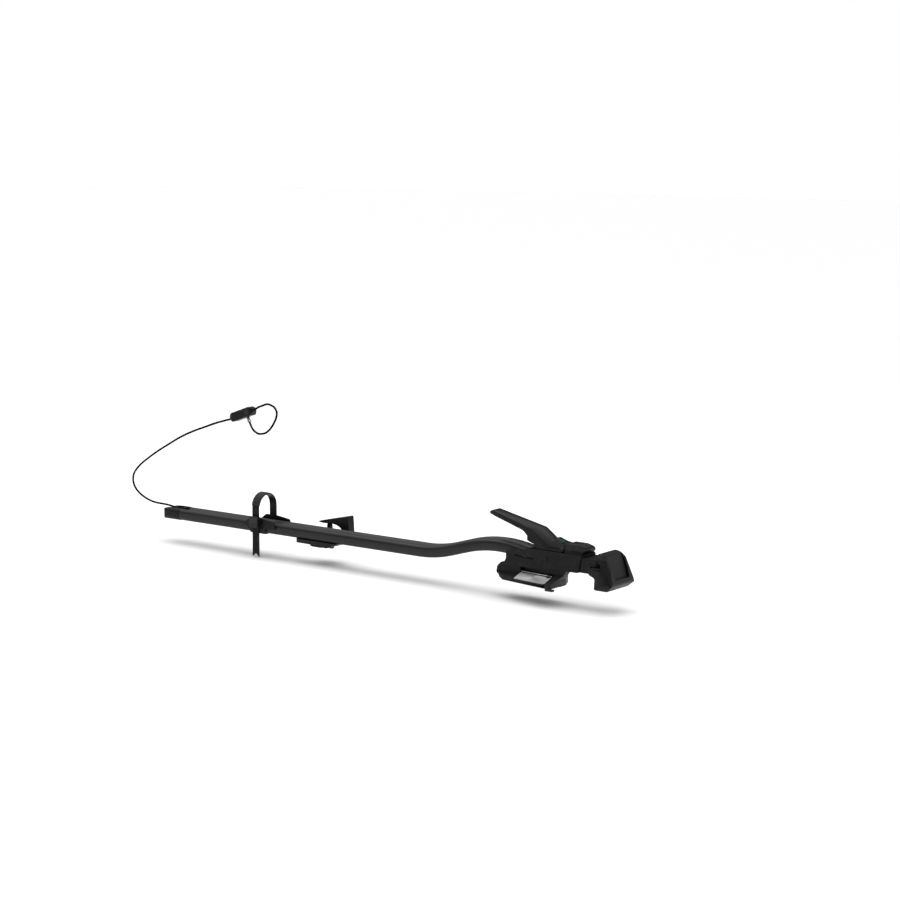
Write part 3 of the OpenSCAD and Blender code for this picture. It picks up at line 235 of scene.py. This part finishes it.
def rubber_like(name, colour, roughness, specular):
    """Rubber and vinyl: a soft dusty surface with a fine pebble."""
    material, tree, shader = shader_tree(name)
    vector = object_coords(tree)
    dust = ramp(tree, noise(tree, vector, 45.0, 6.0, 0.7), 0.45, 0.8, 0.0, 0.5)
    base = blend_colour(tree, dust, colour, tuple(2.2 * c + 0.004 for c in colour))
    tree.links.new(base, shader.inputs["Base Color"])
    rough = ramp(tree, noise(tree, vector, 400.0, 3.0), 0.3, 0.7, roughness - 0.07, roughness + 0.05)
    tree.links.new(rough, shader.inputs["Roughness"])
    shader.inputs["Specular IOR Level"].default_value = specular
    bump(tree, shader, noise(tree, vector, 1400.0, 3.0), 0.4, 0.00008)
    return material


def anodised():
    """Black anodised extrusion: die lines along the tray and a faint uneven dye."""
    material, tree, shader = shader_tree("tray_metal_finish")
    lines = noise(tree, object_coords(tree, (0.6, 60.0, 60.0)), 22.0, 6.0, 0.7)
    vector = object_coords(tree)
    dye = ramp(tree, noise(tree, vector, 9.0, 4.0), 0.3, 0.7, 0.0, 1.0)
    base = blend_colour(tree, dye, (0.0055, 0.0055, 0.006), (0.0085, 0.0085, 0.009))
    tree.links.new(base, shader.inputs["Base Color"])
    tree.links.new(ramp(tree, lines, 0.3, 0.7, 0.36, 0.44), shader.inputs["Roughness"])
    shader.inputs["Specular IOR Level"].default_value = 0.3
    bump(tree, shader, lines, 0.1, 0.00003)
    return material


def brushed(name, colour, roughness, stretch, stain=0.82):
    """Brushed metal: fine scratches along one direction."""
    material, tree, shader = shader_tree(name)
    scratches = noise(tree, object_coords(tree, stretch), 30.0, 6.0, 0.75)
    vector = object_coords(tree)
    stains = ramp(tree, noise(tree, vector, 30.0, 5.0), 0.35, 0.75, 0.0, 1.0)
    base = blend_colour(tree, stains, colour, tuple(stain * c for c in colour))
    tree.links.new(base, shader.inputs["Base Color"])
    rough = ramp(tree, scratches, 0.3, 0.7, roughness - 0.08, roughness + 0.10)
    tree.links.new(rough, shader.inputs["Roughness"])
    shader.inputs["Metallic"].default_value = 1.0
    shader.inputs["Anisotropic"].default_value = 0.5
    bump(tree, shader, scratches, 0.3, 0.00004)
    return material


def faced_lever_with_painted_shade():
    """Foot lever: a bright brushed face on a lever that is black on its edges and below; the black is
    partly the lever's own colour and partly painted shade for the shadow under the plate's overhanging
    edge.
    """
    material = brushed("lever_metal_finish", (0.42, 0.42, 0.425), 0.55, (1.0, 30.0, 30.0), 0.97)
    tree = material.node_tree
    shader = tree.nodes["Principled BSDF"]
    # Painted shade: faces that do not look along the top face are black, partly standing in for the shade
    # below the plate's overhanging edge
    face = facing(tree, LEVER_FACE, 0.90, 0.97)
    metal = shader.inputs["Base Color"].links[0].from_socket
    tree.links.new(blend_colour(tree, face, LEVER_EDGE_BLACK_AND_SHADE, metal), shader.inputs["Base Color"])
    tree.links.new(face, shader.inputs["Metallic"])
    shader.inputs["Specular IOR Level"].default_value = 0.2
    return material


def jaw_finish_with_painted_light():
    """Moving jaw: the plastic of the head, with a satin front panel that is a little lighter; the lighter
    tone is partly the panel's own and partly painted light for the light falling on faces that look
    forward and up.
    """
    material = moulded("jaw_finish_with_painted_light", HEAD_BLACK, HEAD_ROUGHNESS, HEAD_SHEEN)
    tree = material.node_tree
    shader = tree.nodes["Principled BSDF"]
    # Painted light: faces that look along the panel's direction get a lighter colour, partly for the satin
    # panel and partly for the light falling on them
    panel = facing(tree, JAW_PANEL_FACE, 0.985, 0.997)
    plastic = shader.inputs["Base Color"].links[0].from_socket
    tree.links.new(blend_colour(tree, panel, plastic, PANEL_BLACK_AND_LIGHT), shader.inputs["Base Color"])
    return material


def make_finishes():
    return {
        "black_plastic": moulded("black_plastic_finish", HEAD_BLACK, HEAD_ROUGHNESS, HEAD_SHEEN),
        "strap_plastic": moulded("strap_plastic_finish", STRAP_BLACK, 0.38, 0.15, FINE_GRAIN, 0.00004),
        "grey_plastic": moulded("grey_plastic_finish", (0.016, 0.0165, 0.017), 0.5, 0.24),
        "green_plastic": moulded("green_plastic_finish", INDICATOR_GREEN, 0.38, 0.14, FINE_GRAIN, 0.00002),
        "rubber": rubber_like("rubber_finish", (0.006, 0.006, 0.006), 0.75, 0.2),
        "pad_rubber": rubber_like("pad_rubber_finish", (0.014, 0.014, 0.015), 0.7, 0.25),
        "cable_vinyl": rubber_like("cable_vinyl_finish", (0.001, 0.001, 0.0011), 0.8, 0.0),
        "tray_metal": anodised(),
        "steel": brushed("steel_finish", (0.50, 0.50, 0.52), 0.33, (12.0, 12.0, 12.0)),
        "dark_steel": brushed("dark_steel_finish", (0.045, 0.045, 0.048), 0.42, (12.0, 12.0, 12.0)),
        "lever_metal": faced_lever_with_painted_shade(),
    }


# Softened copies of the CAD nodes: the moulded edges get their small radii
EDGE_RADIUS = {
    "clamp_lever": 0.9, "head_block": 1.2, "tray_socket": 1.2, "nose_cover": 1.2, "front_jaw": 1.6,
    "front_foot": 1.0, "rear_foot": 1.0, "rear_lever": 1.0, "rear_jaw": 0.8, "strap_carriage": 0.8,
    "tray_end_cap": 0.8, "cable_lock_body": 1.2, "wheel_tray": 0.35, "foot_lever": 0.6,
    "wheel_strap": 0.3, "buckle_tab": 0.5, "buckle_body": 0.4, "lever_catch": 0.6,
    "tension_indicator": 0.6, "rim_pad": 0.6, "front_t_bolt": 0.5, "rear_t_bolt": 0.6,
    "cable_plug": 0.4, "cable_lock_core": 0.4, "lever_lock_core": 0.4, "cable_grommet": 0.4,
    "front_foot_pad": 0.6, "rear_foot_pad": 0.6, "rear_jaw_pad": 0.4, "jaw_liner": 0.4,
}
SHARP_EDGE = math.radians(28)
FLAT_FACES = math.radians(0.6)


def softened(node, radius, finish):
    mesh = NODES[node].data.copy()
    mesh.name = node + "_soft"
    work = bmesh.new()
    work.from_mesh(mesh)
    bmesh.ops.remove_doubles(work, verts=work.verts, dist=2e-6)
    bmesh.ops.dissolve_limit(work, angle_limit=FLAT_FACES, verts=work.verts, edges=work.edges)
    work.to_mesh(mesh)
    work.free()
    piece = bpy.data.objects.new(node + "_soft", mesh)
    SCENE.collection.objects.link(piece)
    if mesh.has_custom_normals:
        with bpy.context.temp_override(object=piece, active_object=piece, selected_objects=[piece]):
            bpy.ops.mesh.customdata_custom_splitnormals_clear()
    mesh.shade_smooth()
    mesh.set_sharp_from_angle(angle=SHARP_EDGE)
    bevel = piece.modifiers.new("edges", "BEVEL")
    bevel.width = radius * MM
    bevel.segments = 3
    bevel.limit_method = "ANGLE"
    bevel.angle_limit = SHARP_EDGE
    bevel.harden_normals = True
    mesh.materials.clear()
    mesh.materials.append(finish)
    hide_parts(node)
    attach(piece, BODY_OF[node])
    return piece


def cable(name, route, node, finish):
    points = [Vector(p) * MM for p in route]
    data = bpy.data.curves.new(name, "CURVE")
    data.dimensions = "3D"
    data.bevel_depth = CABLE_D / 2 * MM
    data.bevel_resolution = 5
    data.resolution_u = 10
    data.use_fill_caps = True
    spline = data.splines.new("BEZIER")
    spline.bezier_points.add(len(points) - 1)
    last = len(points) - 1
    for i, (knot, place) in enumerate(zip(spline.bezier_points, points)):
        reach = (points[min(last, i + 1)] - points[max(0, i - 1)]) / 6
        knot.co = place
        knot.handle_left_type = "FREE"
        knot.handle_right_type = "FREE"
        knot.handle_left = place - reach
        knot.handle_right = place + reach
    piece = bpy.data.objects.new(name, data)
    SCENE.collection.objects.link(piece)
    data.materials.append(finish)
    length = sum((b - a).length for a, b in zip(points, points[1:]))
    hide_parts(node)
    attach(piece, BODY_OF[node])
    return piece, points[0], length


def make_cords(finish):
    lead, start, length = cable("lock_lead", LEAD_ROUTE, "lock_cable_lead", finish)
    loop, start, length = cable("lock_loop", LOOP_ROUTE, "lock_cable_loop", finish)


# Stage: a pale floor in a white surround that is dim along the horizon, bright above and at both ends
FLOOR_Z = -0.0425
FLOOR_SIZE = 60
KEY_PLACE = (-0.7, 0.3, 2.6)
KEY_TARGET = (-0.6, 0.0, 0.0)
KEY_SIZE = (3.4, 2.0)
KEY_POWER = 30.0


def make_world():
    world = bpy.data.worlds.new("studio")
    world.use_nodes = True
    tree = world.node_tree
    surround = tree.nodes["Background"]
    coords = tree.nodes.new("ShaderNodeTexCoord")
    split = tree.nodes.new("ShaderNodeSeparateXYZ")
    tree.links.new(coords.outputs["Generated"], split.inputs["Vector"])
    right = ramp(tree, split.outputs["X"], 0.3, 0.7, 0.0, 0.7)
    left = ramp(tree, split.outputs["X"], -0.9, -0.62, 1.0, 0.0)
    above = ramp(tree, split.outputs["Z"], 0.45, 0.85, 0.03, 1.7)
    sides = total(tree, right, left)
    tree.links.new(total(tree, sides, above), surround.inputs["Strength"])
    surround.inputs["Color"].default_value = (1.0, 1.0, 1.0, 1.0)
    seen = add_node(tree, "ShaderNodeBackground", Color=(1.0, 1.0, 1.0, 1.0), Strength=1.0)
    path = tree.nodes.new("ShaderNodeLightPath")
    mix = tree.nodes.new("ShaderNodeMixShader")
    tree.links.new(path.outputs["Is Camera Ray"], mix.inputs["Fac"])
    tree.links.new(surround.outputs["Background"], mix.inputs[1])
    tree.links.new(seen.outputs["Background"], mix.inputs[2])
    tree.links.new(mix.outputs["Shader"], tree.nodes["World Output"].inputs["Surface"])
    SCENE.world = world


def make_stage():
    bpy.ops.mesh.primitive_plane_add(size=FLOOR_SIZE, location=(0, 0, FLOOR_Z))
    floor = bpy.context.object
    floor.name = "floor"
    material, tree, shader = shader_tree("floor_finish")
    shader.inputs["Base Color"].default_value = (0.86, 0.86, 0.86, 1.0)
    shader.inputs["Roughness"].default_value = 0.9
    shader.inputs["Specular IOR Level"].default_value = 0.1
    floor.data.materials.append(material)
    make_world()
    light("key", KEY_PLACE, KEY_TARGET, KEY_SIZE, KEY_POWER)
    SCENE.view_settings.view_transform = "Standard"
    SCENE.view_settings.look = "None"


def light(name, place, target, size, power):
    data = bpy.data.lights.new(name, "AREA")
    data.shape = "RECTANGLE"
    data.size, data.size_y = size
    data.energy = power
    lamp = bpy.data.objects.new(name, data)
    lamp.location = place
    lamp.rotation_euler = (Vector(target) - Vector(place)).to_track_quat("-Z", "Y").to_euler()
    SCENE.collection.objects.link(lamp)


make_camera()
FINISHES = make_finishes()
for node, obj in NODES.items():
    obj.data.materials.clear()
    obj.data.materials.append(FINISHES[SLOT_OF[node]])
OWN_FINISH = {"front_jaw": jaw_finish_with_painted_light()}
for node, radius in EDGE_RADIUS.items():
    softened(node, radius, OWN_FINISH.get(node, FINISHES[SLOT_OF[node]]))
make_cords(FINISHES["cable_vinyl"])
make_stage()
